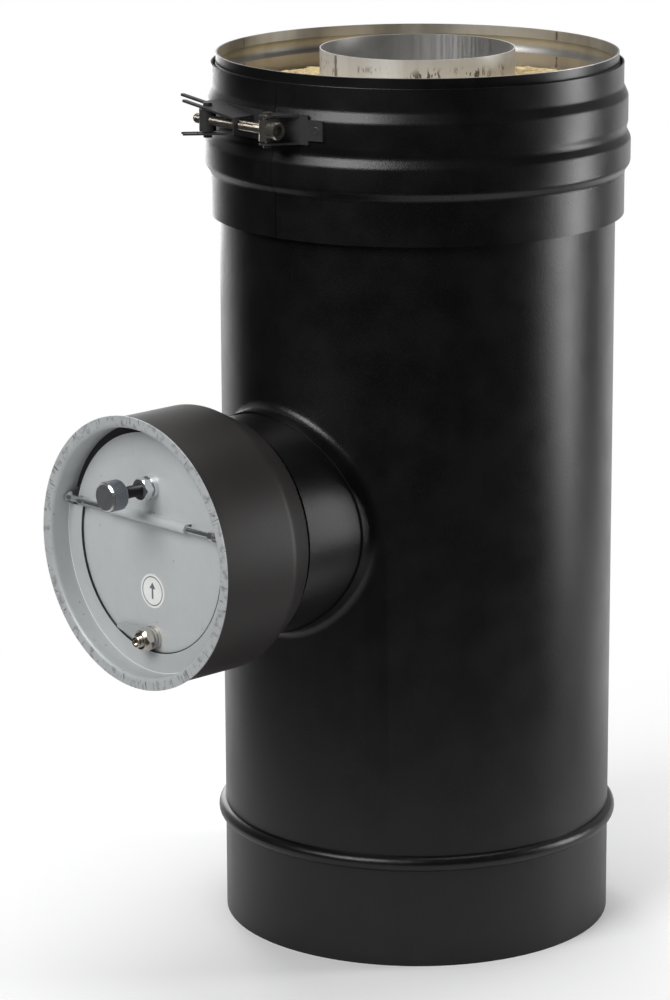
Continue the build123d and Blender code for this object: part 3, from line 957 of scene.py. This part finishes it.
@dataclass(frozen=True)
class ThreadedRod:
    """A rod with a real thread that stands in for a plain CAD rod."""

    name: str
    node: str
    body: str
    slot: Slot
    radius: float
    pitch: float
    start: float
    end: float
    head: Head = Head.NONE
    head_radius: float = 0.0
    head_start: float = 0.0
    head_end: float = 0.0
    recess: float = 0.0
    finish: BrightMetal | None = None
    segments: int = 28

    def build(self, palette: Palette, place: Matrix) -> bpy.types.Object:
        """Make the rod and put it in the CAD rod's place.

        Args:
            palette: Gives the material.
            place: Frame on the rod's axis.

        Returns:
            The piece.
        """
        mesh = bmesh.new()
        length = self.end - self.start
        steps = int(length / self.pitch * STEPS_A_TURN)
        heights = [self.start + length * step / steps for step in range(steps + 1)]
        levels: list[tuple[float, Radius]] = [(z, self.thread(z)) for z in heights]
        if self.recess:
            levels += [(self.end, self.recess), (self.end - 0.8 * self.recess, self.recess)]
        rows = ring_rows(mesh, self.segments, levels)
        grid_faces(mesh, rows)
        mesh.faces.new(rows[0])
        mesh.faces.new(rows[-1])
        if self.head is not Head.NONE:
            self.add_head(mesh)
        material = palette.of(self.finish or FINISHES[self.slot])
        made = piece_from(self.name, mesh, self.body, self.slot, [material], place)
        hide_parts(self.node)
        return made

    def thread(self, z: float) -> Callable[[float], float]:
        """Radius of the thread at a height, fading out at the rod's ends.

        Args:
            z: Height along the rod.

        Returns:
            The radius as a function of the angle about the rod.
        """
        fade = max(0.0, min(1.0, (self.end - z) / self.pitch, (z - self.start) / self.pitch))
        depth = THREAD_DEPTH * self.pitch

        def radius(angle: float) -> float:
            """Radius at an angle."""
            crest = 1.0 - abs(2.0 * ((z / self.pitch - angle / FULL_TURN) % 1.0) - 1.0)
            return self.radius - depth * (1.0 - min(1.0, THREAD_CREST * crest) * fade)
        return radius

    def add_head(self, mesh: Mesh) -> None:
        """Add the head.

        Args:
            mesh: The rod's mesh.
        """
        cut = HEAD_CHAMFER * self.head_radius
        low, high = self.head_start, self.head_end
        levels: list[tuple[float, Radius]] = [
            (low, self.radius), (low, self.head_radius), (high - cut, self.head_radius),
            (high, self.head_radius - cut)]
        if self.head is Head.SOCKET:
            key = KEY_WIDTH * self.head_radius
            floor = high - KEY_DEPTH * (high - low)
            levels += [(z, self.hexagon(r))
                       for z, r in ((high, key), (floor, key), (floor, 0.2 * key))]
        rows = ring_rows(mesh, 6 if self.head is Head.HEXAGON else 48, levels)
        grid_faces(mesh, rows)
        mesh.faces.new(rows[-1])

    @staticmethod
    def hexagon(width: float) -> Callable[[float], float]:
        """Radius of a hexagon.

        Args:
            width: Half the hexagon's width.

        Returns:
            The radius as a function of the angle.
        """
        sixth = math.pi / 3
        return lambda angle: width / math.cos((angle % sixth) - sixth / 2)


@dataclass(frozen=True)
class KnurledWeight:
    """The adjusting weight with its knurled side, bright chamfer and dark face."""

    teeth: int = 36
    depth: float = 0.0003
    lead: float = 1.0 * MM
    chamfer_cut: float = 0.9 * MM
    bore: float = 3.05 * MM
    edge: float = 0.3 * MM
    steps: int = 40
    face: BrightMetal = BrightMetal(
        "weight_face", (0.20, 0.21, 0.22), (0.12, 0.125, 0.13), 0.42, 0.12, 0.6)
    chamfer: BrightMetal = BrightMetal(
        "weight_chamfer", (0.82, 0.82, 0.8), (0.66, 0.66, 0.64), 0.14)

    def build(self, palette: Palette) -> bpy.types.Object:
        """Make the weight in the CAD weight's place.

        Args:
            palette: Gives the materials.

        Returns:
            The piece.
        """
        mesh = bmesh.new()
        cut, top = self.chamfer_cut, WEIGHT_START + WEIGHT_LENGTH
        low, high = WEIGHT_START + cut, top - cut
        root = WEIGHT_R - self.depth
        levels: list[tuple[float, Radius]] = [
            (WEIGHT_START, self.bore), (WEIGHT_START, WEIGHT_R - cut), (low, root)]
        for step in range(self.steps + 1):
            z = low + (high - low) * step / self.steps
            levels.append((z, lambda a, z=z: self.side(a, z)))
        levels += [(high + 0.1 * MM, root), (top, WEIGHT_R - cut - self.depth),
                   (top, WEIGHT_R - cut - self.edge), (top, self.edge)]
        rows = ring_rows(mesh, self.teeth * 6, levels)
        last = len(rows)
        bright, dark = (1, last - 4), last - 3
        grid_faces(mesh, rows,
                   lambda level: 2 if level in bright else 1 if level >= dark else 0)
        mesh.faces.new(rows[-1]).material_index = 1
        materials = [palette.slot(Slot.WEIGHT_STEEL), palette.of(self.face),
                     palette.of(self.chamfer)]
        made = piece_from("knurled_weight", mesh, "weight", Slot.WEIGHT_STEEL, materials,
                          branch_place(SPINDLE_V))
        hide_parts("adjusting_weight")
        return made

    def side(self, angle: float, z: float) -> float:
        """Radius of the knurl.

        Args:
            angle: Angle about the weight.
            z: Height along it.

        Returns:
            The radius.
        """
        turn, lead = 0.5 * self.teeth * angle, z / self.lead
        ridge = min(abs(math.sin(turn + lead)), abs(math.sin(turn - lead)))
        return WEIGHT_R - self.depth * (1.0 - ridge)


@dataclass(frozen=True)
class WoolTop:
    """The ragged upper face of the wool, with loose fibres."""

    rise: float = 3.2 * MM
    rings: int = 22
    points: int = 220
    liner_gap: float = 0.5 * MM
    fibres: int = 1400
    fibre_margin: float = 4 * MM
    fibre_radius: float = 0.11 * MM
    fibre_step: float = 1.3 * MM
    seed: int = 4

    def build(self, palette: Palette) -> None:
        """Make the face and the fibres.

        Args:
            palette: Gives the material.
        """
        mesh = bmesh.new()
        inner = LINER_R + self.liner_gap
        rows = []
        for ring in range(self.rings + 1):
            share = ring / self.rings
            radius = inner + share * (WOOL_OUTER - LINER_R - self.liner_gap)
            rows.append([mesh.verts.new(self.spot(radius, FULL_TURN * i / self.points, share))
                         for i in range(self.points)])
        grid_faces(mesh, rows)
        piece_from("wool_top", mesh, "pipe", Slot.WOOL, [palette.slot(Slot.WOOL)])
        self.add_fibres(palette)

    def spot(self, radius: float, angle: float, share: float) -> Vector:
        """A place on the wool's face.

        Args:
            radius: Distance from the pipe's axis.
            angle: Angle about it.
            share: Where between the wool's inner and outer edge, from 0 to 1.

        Returns:
            The place.
        """
        flat = Vector((radius * math.cos(angle), radius * math.sin(angle), 0.0))
        lumps = noise.fractal(flat * 85.0, 1.0, 2.0, 4) + 0.45 * noise.noise(flat * 420.0)
        edge = min(1.0, 6.0 * share, 6.0 * (1.0 - share))
        height = WOOL_TOP + edge * self.rise * max(0.05, 0.55 + 0.6 * lumps)
        return Vector((flat.x, flat.y, height))

    def add_fibres(self, palette: Palette) -> None:
        """Scatter thin bent fibres over the face.

        Args:
            palette: Gives the material.
        """
        chance = random.Random(self.seed)
        mesh = bmesh.new()
        corners = [Vector((math.cos(t), math.sin(t), math.sin(2 * t))) for t in (0.0, 2.1, 4.2)]
        for _ in range(self.fibres):
            radius = chance.uniform(LINER_R + self.fibre_margin, WOOL_OUTER - self.fibre_margin)
            angle = chance.uniform(0, FULL_TURN)
            spot = self.spot(radius, angle, (radius - LINER_R) / (WOOL_OUTER - LINER_R))
            heading = chance.uniform(0, FULL_TURN)
            bend = chance.uniform(-0.9, 0.9)
            lift = chance.uniform(0.0, 0.5)
            rows = []
            for _ in range(5):
                rows.append([mesh.verts.new(spot + corner * self.fibre_radius)
                             for corner in corners])
                ahead = Vector((math.cos(heading), math.sin(heading), lift))
                spot = spot + ahead * self.fibre_step
                heading += bend * 0.5
                lift -= 0.22
            grid_faces(mesh, rows)
        piece_from("wool_fibres", mesh, "pipe", Slot.WOOL, [palette.slot(Slot.WOOL)])


@dataclass(frozen=True)
class FlapLabel:
    """A plain round sticker on the flap with a ring and an arrow."""

    v: float = -21.0 * MM
    radius: float = 8.6 * MM
    bevel: float = 0.08 * MM
    lift: float = 0.02 * MM
    thickness: float = 0.13 * MM
    ink_lift: float = 0.03 * MM
    ring: tuple[float, float] = (0.86, 0.80)
    segments: int = 72
    paper: Sticker = Sticker("label_paper", (0.80, 0.80, 0.78), (0.72, 0.72, 0.70))
    ink: Sticker = Sticker("label_print", (0.16, 0.17, 0.19), (0.12, 0.13, 0.15))

    def build(self, palette: Palette) -> None:
        """Make the sticker and its print.

        Args:
            palette: Gives the materials.
        """
        place = branch_place(self.v)
        base = FLAP_FRONT + self.lift
        top = base + self.thickness
        mesh = bmesh.new()
        rows = ring_rows(mesh, self.segments,
                         [(base, self.radius), (top, self.radius - self.bevel)])
        grid_faces(mesh, rows)
        mesh.faces.new(rows[-1])
        piece_from("flap_label", mesh, "flap", Slot.GALVANISED, [palette.of(self.paper)], place)
        mesh = bmesh.new()
        ink_z = top + self.ink_lift
        grid_faces(mesh, ring_rows(mesh, self.segments,
                                   [(ink_z, self.radius * share) for share in self.ring]))
        for points in self.arrow():
            mesh.faces.new([mesh.verts.new((x * MM, y * MM, ink_z)) for x, y in points])
        piece_from("flap_label_print", mesh, "flap", Slot.GALVANISED, [palette.of(self.ink)],
                   place)

    @staticmethod
    def arrow() -> list[list[tuple[float, float]]]:
        """Outlines of an upright arrow, in millimetres."""
        return [[(-0.6, -4.0), (0.6, -4.0), (0.6, 1.2), (-0.6, 1.2)],
                [(-2.2, 1.2), (2.2, 1.2), (0.0, 4.4)]]


@dataclass(frozen=True)
class WeldSeam:
    """A flat weld bead along a pipe wall."""

    name: str
    radius: float
    angle: float
    low: float
    high: float
    width: float
    rise: float
    slot: Slot
    finish: StainlessSheet | None = None
    step: float = 1.5 * MM
    ripple: float = 0.9 * MM

    def build(self, palette: Palette) -> bpy.types.Object:
        """Make the seam.

        Args:
            palette: Gives the material.

        Returns:
            The piece.
        """
        mesh = bmesh.new()
        length = self.high - self.low
        steps = max(8, int(length / self.step))
        across = [(-0.5, 0.0), (-0.3, 0.6), (0.0, 1.0), (0.3, 0.6), (0.5, 0.0)]
        rows = []
        for step in range(steps + 1):
            z = self.low + length * step / steps
            uneven = 0.2 * noise.noise(Vector((z * 300.0, 0.0, 0.0)))
            swell = 1.0 + 0.18 * math.sin(z / self.ripple) + uneven
            row = []
            for side, height in across:
                turn = self.angle + side * self.width * swell / self.radius
                reach = self.radius + self.rise * height * swell
                row.append(mesh.verts.new((reach * math.cos(turn), reach * math.sin(turn), z)))
            rows.append(row)
        for low, high in zip(rows, rows[1:]):
            for i in range(len(across) - 1):
                mesh.faces.new((low[i], low[i + 1], high[i + 1], high[i]))
        material = palette.of(self.finish or FINISHES[self.slot])
        return piece_from(self.name, mesh, "pipe", self.slot, [material])


@dataclass(frozen=True)
class SpotWeld:
    """A shallow round weld mark on the strap's plate."""

    name: str
    x: float
    radius: float = 2.0 * MM
    plate_r: float = 107.2 * MM

    def build(self, palette: Palette) -> bpy.types.Object:
        """Make the mark.

        Args:
            palette: Gives the material.

        Returns:
            The piece.
        """
        mesh = bmesh.new()
        profile = [(0.0, 1.0), (0.14, 0.86), (0.12, 0.62), (0.03, 0.45)]
        rows = ring_rows(mesh, 32,
                         [(height * MM, share * self.radius) for height, share in profile])
        grid_faces(mesh, rows)
        mesh.faces.new(rows[-1])
        lean = math.asin(self.x / self.plate_r)
        place = (Matrix.Rotation(CLAMP_ANGLE + lean, 4, "Z")
                 @ Matrix.Translation((0.0, -self.plate_r, CLAMP_Z))
                 @ Matrix.Rotation(QUARTER_TURN, 4, "X"))
        return piece_from(self.name, mesh, "pipe", Slot.CLAMP_BLACK,
                          [palette.slot(Slot.CLAMP_BLACK)], place)


@dataclass(frozen=True)
class Studio:
    """White floor, soft lamps and the camera at the photo's angle.

    Its places are seen from the camera's side: X to the right, Y away from it and Z up.
    """

    distance: float = 1.9663
    height: float = 0.7193
    yaw: float = math.radians(-1.230)
    pitch: float = math.radians(14.321)
    roll: float = math.radians(-0.239)
    lens: float = 141.70
    sensor: float = 36.0
    floor_reach: float = 14.0
    floor_colour: float = 0.94
    mirrored_floor: float = 0.58
    floor_glow: float = 0.7
    sky_glow: float = 0.24
    mirrored_sky: float = 0.36

    def turned(self, x: float, y: float, z: float) -> Vector:
        """Turn a place seen from the camera's side into the part's frame."""
        return Matrix.Rotation(PHOTO_TURN, 3, "Z") @ Vector((x, y, z))

    def along(self, tree: Tree, place: Socket, x: float, y: float) -> Socket:
        """Measure a place along a level direction.

        Args:
            tree: Where the nodes go.
            place: The place.
            x: The direction's share to the right.
            y: Its share away from the camera.

        Returns:
            The measure.
        """
        return tree.dot(place, tuple(self.turned(x, y, 0.0)))

    def build(self) -> None:
        """Make the floor, lamps, world and camera."""
        self.floor()
        self.lamp("key", (-1.25, -1.35, 1.75), (-0.05, 0.0, 0.22), (1.3, 1.3), 38.0)
        self.lamp("top", (0.1, 0.5, 2.1), (0.0, 0.0, 0.3), (1.5, 1.5), 24.0)
        self.lamp("strip", (0.78, 0.03, 0.28), (0.0, 0.0, 0.28), (0.16, 0.52), 2.9)
        self.lamp("left", (-0.55, 1.5, 0.5), (0.0, 0.0, 0.3), (0.5, 1.2), 6.0)
        self.world()
        self.camera()

    def lamp(self, name: str, place: Place, target: Place, size: tuple[float, float],
             power: float) -> None:
        """Add a soft rectangular lamp.

        Args:
            name: Its name.
            place: Where it is, seen from the camera's side.
            target: What it points at.
            size: Width and height.
            power: Watts.
        """
        data = bpy.data.lights.new(name, "AREA")
        data.shape = "RECTANGLE"
        data.size, data.size_y = size
        data.energy = power
        made = bpy.data.objects.new(name, data)
        made.visible_camera = False
        bpy.context.scene.collection.objects.link(made)
        start, aim = self.turned(*place), self.turned(*target)
        made.location = start
        made.rotation_mode = "QUATERNION"
        made.rotation_quaternion = (aim - start).to_track_quat("-Z", "Y")
        LOG.info("lamp %s", name)

    def floor(self) -> None:
        """Add the floor: plain and pale round the object, white further out."""
        mesh = bpy.data.meshes.new("floor")
        far = self.floor_reach
        mesh.from_pydata([(-far, -far, 0.0), (far, -far, 0.0), (far, far, 0.0), (-far, far, 0.0)],
                         [], [(0, 1, 2, 3)])
        made = bpy.data.objects.new("floor", mesh)
        bpy.context.scene.collection.objects.link(made)
        material = bpy.data.materials.new("floor")
        material.use_nodes = True
        material.node_tree.nodes.clear()
        tree = Tree(material.node_tree)
        place = tree.node("ShaderNodeNewGeometry").outputs["Position"]
        away = tree.span(tree.vector_math("LENGTH", place, output="Value"), 0.18, 0.52)
        mirrored = tree.rays("Is Glossy Ray", "Is Transmission Ray")
        glow = tree.largest(tree.times(self.white_patch(tree, place), mirrored),
                            tree.times(tree.rays("Is Diffuse Ray"), self.floor_glow),
                            tree.rays("Is Camera Ray"))
        white = tree.node("ShaderNodeEmission", {"Strength": glow})
        tone = tree.span(mirrored, 0.0, 1.0, self.floor_colour, self.mirrored_floor)
        paint = tree.node("ShaderNodeBsdfPrincipled", {"Base Color": tone, "Roughness": 0.7})
        mix = tree.node("ShaderNodeMixShader",
                        {0: away, 1: paint.outputs[0], 2: white.outputs[0]})
        tree.node("ShaderNodeOutputMaterial", {"Surface": mix.outputs[0]})
        mesh.materials.append(material)

    def white_patch(self, tree: Tree, place: Socket) -> Socket:
        """Mask of the floor that is white in mirrors: behind the object, on either side.

        Args:
            tree: The floor's nodes.
            place: The place on the floor.

        Returns:
            The mask.
        """
        left = self.along(tree, place, -1.0, 0.05)
        slant = self.along(tree, place, 0.755, 0.656)
        far_left = tree.times(tree.span(slant, -0.3, 0.15), tree.span(left, -0.02, 0.1))
        near = tree.times(tree.span(self.along(tree, place, 0.0, 1.0), 0.02, 0.25),
                          tree.span(left, -0.85, -0.35))
        beyond = tree.span(self.along(tree, place, -0.8, 1.0), 0.0, 0.25)
        far_right = tree.times(tree.largest(near, beyond), tree.span(left, 0.1, -0.05))
        return tree.largest(far_left, far_right)

    def world(self) -> None:
        """Light the world softly for the object, and white for the camera."""
        world = bpy.data.worlds.new("studio")
        bpy.context.scene.world = world
        world.use_nodes = True
        world.node_tree.nodes.clear()
        tree = Tree(world.node_tree)
        heading = tree.node("ShaderNodeTexCoord").outputs["Generated"]
        behind = tree.span(self.along(tree, heading, 0.0, 1.0), 0.2, 0.8, 0.0, self.mirrored_sky)
        mirrored = tree.rays("Is Glossy Ray", "Is Transmission Ray")
        glow = tree.largest(tree.times(tree.rays("Is Diffuse Ray"), self.sky_glow),
                            tree.times(mirrored, behind), tree.rays("Is Camera Ray"))
        sky = tree.node("ShaderNodeBackground", {"Color": (1.0, 1.0, 1.0, 1.0), "Strength": glow})
        tree.node("ShaderNodeOutputWorld", {"Surface": sky.outputs[0]})

    def camera(self) -> None:
        """Add the camera."""
        level = math.cos(self.pitch)
        forward = Vector((math.sin(self.yaw) * level, math.cos(self.yaw) * level,
                          -math.sin(self.pitch)))
        right = Vector((math.cos(self.yaw), -math.sin(self.yaw), 0.0))
        up = right.cross(forward)
        across = math.cos(self.roll) * right + math.sin(self.roll) * up
        upward = -math.sin(self.roll) * right + math.cos(self.roll) * up
        axes = Matrix((across, upward, -forward)).transposed()
        data = bpy.data.cameras.new("photo")
        data.lens = self.lens
        data.sensor_width = self.sensor
        made = bpy.data.objects.new("photo", data)
        bpy.context.scene.collection.objects.link(made)
        stand = Matrix.Translation((0.0, -self.distance, self.height)) @ axes.to_4x4()
        made.matrix_world = Matrix.Rotation(PHOTO_TURN, 4, "Z") @ stand
        bpy.context.scene.camera = made


class ChimneyPipe:
    """The whole part: CAD nodes with their finishes and the pieces added to them."""

    def __init__(self) -> None:
        """Start with an empty palette."""
        self.palette = Palette()

    def dress(self) -> None:
        """Give every CAD node its material."""
        for part in frame["record"]["subparts"]:
            node = frame["nodes"][part["node"]]
            node.data.materials.clear()
            finish = NODE_FINISHES.get(part["node"], FINISHES[Slot(part["material_slot"])])
            node.data.materials.append(self.palette.of(finish))
            self.even_shading(node)
            LOG.info("dressed %s", part["node"])

    @staticmethod
    def even_shading(node: bpy.types.Object) -> None:
        """Shade a CAD node smoothly across its faces' seams, and keep its edges sharp.

        Args:
            node: The node's object.
        """
        node.modifiers.new("weld", "WELD").merge_threshold = WELD_REACH
        creases = node.modifiers.new("creases", "EDGE_SPLIT")
        creases.split_angle = NODE_CREASE
        creases.use_edge_sharp = False
        normals = node.modifiers.new("normals", "WEIGHTED_NORMAL")
        normals.mode = "CORNER_ANGLE"
        normals.keep_sharp = False

    def build(self) -> None:
        """Add the pieces that are finer than the CAD model."""
        WoolTop().build(self.palette)
        FlapLabel().build(self.palette)
        KnurledWeight().build(self.palette)
        for rod, place in self.rods():
            rod.build(self.palette, place)
        for seam in self.seams():
            seam.build(self.palette)
        SpotWeld("strap_weld", 35.0 * MM).build(self.palette)

    @staticmethod
    def rods() -> list[tuple[ThreadedRod, Matrix]]:
        """Give the threaded rods and where they go.

        Returns:
            Each rod with the frame on its axis.
        """
        # The spindle is coloured near-black: painted shade where the weight shadows it.
        dark = BrightMetal("dark_thread", (0.07, 0.07, 0.072), (0.03, 0.03, 0.031), 0.4)
        spindle = ThreadedRod(
            "threaded_spindle", "weight_spindle", "flap", Slot.BRIGHT_ZINC,
            radius=2.98 * MM, pitch=1.0 * MM, start=FLAP_BACK - 5.0 * MM, end=SPINDLE_END,
            finish=dark)
        lock = ThreadedRod(
            "threaded_lock_bolt", "lock_bolt", "flap", Slot.NICKEL,
            radius=2.98 * MM, pitch=1.0 * MM, start=FLAP_BACK, end=LOCK_END,
            head=Head.HEXAGON, head_radius=5.7 * MM, head_start=FLAP_BACK - 4.0 * MM,
            head_end=FLAP_BACK, recess=1.7 * MM)
        clamp = ThreadedRod(
            "threaded_clamp_bolt", "clamp_bolt", "bolt", Slot.NICKEL,
            radius=2.48 * MM, pitch=0.8 * MM, start=-36.7 * MM, end=19.8 * MM,
            head=Head.SOCKET, head_radius=4.38 * MM, head_start=19.8 * MM, head_end=24.2 * MM)
        return [(spindle, branch_place(SPINDLE_V)), (lock, branch_place(LOCK_V)),
                (clamp, bolt_place())]

    @staticmethod
    def seams() -> list[WeldSeam]:
        """Give the weld seams of the jacket and the liner.

        Returns:
            The seams.
        """
        back, front = math.radians(95), math.radians(-100.4)
        right, left = math.radians(89.2), math.radians(197.7)
        tint = StainlessSheet(
            "seam_steel", (0.30, 0.28, 0.26), (0.18, 0.165, 0.15), (0.08, 0.065, 0.05), 0.45)
        seams = [
            WeldSeam(name, JACKET_R, back, low * MM, high * MM, 3.0 * MM, 0.22 * MM,
                     Slot.BLACK_COAT)
            for name, low, high in (("jacket_seam_low", 1.0, 50.3), ("jacket_seam", 58.7, 368.0))]
        seams.append(WeldSeam("liner_seam", LINER_R, front, 431.0 * MM, 451.0 * MM, 2.0 * MM,
                              0.15 * MM, Slot.STAINLESS, tint))
        for side, angle in (("right", right), ("left", left)):
            for name, low, high in (("lip_seam", 445.2, 449.8), ("socket_seam", 431.0, 436.6)):
                seams.append(WeldSeam(f"{name}_{side}", JACKET_INSIDE, angle, low * MM, high * MM,
                                      1.6 * MM, -0.2 * MM, Slot.STAINLESS, tint))
        return seams


def clear_defaults() -> None:
    """Remove the start-up objects that are no part of the frame."""
    for name in ("Cube", "Light", "Camera"):
        if name in bpy.data.objects:
            bpy.data.objects.remove(bpy.data.objects[name])


def main() -> None:
    """Build the scene."""
    logging.basicConfig(level=logging.INFO, format="%(name)s: %(message)s")
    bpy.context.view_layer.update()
    clear_defaults()
    bpy.context.scene.view_settings.view_transform = "Standard"
    part = ChimneyPipe()
    part.dress()
    part.build()
    Studio().build()


if __name__ == "__main__":
    main()
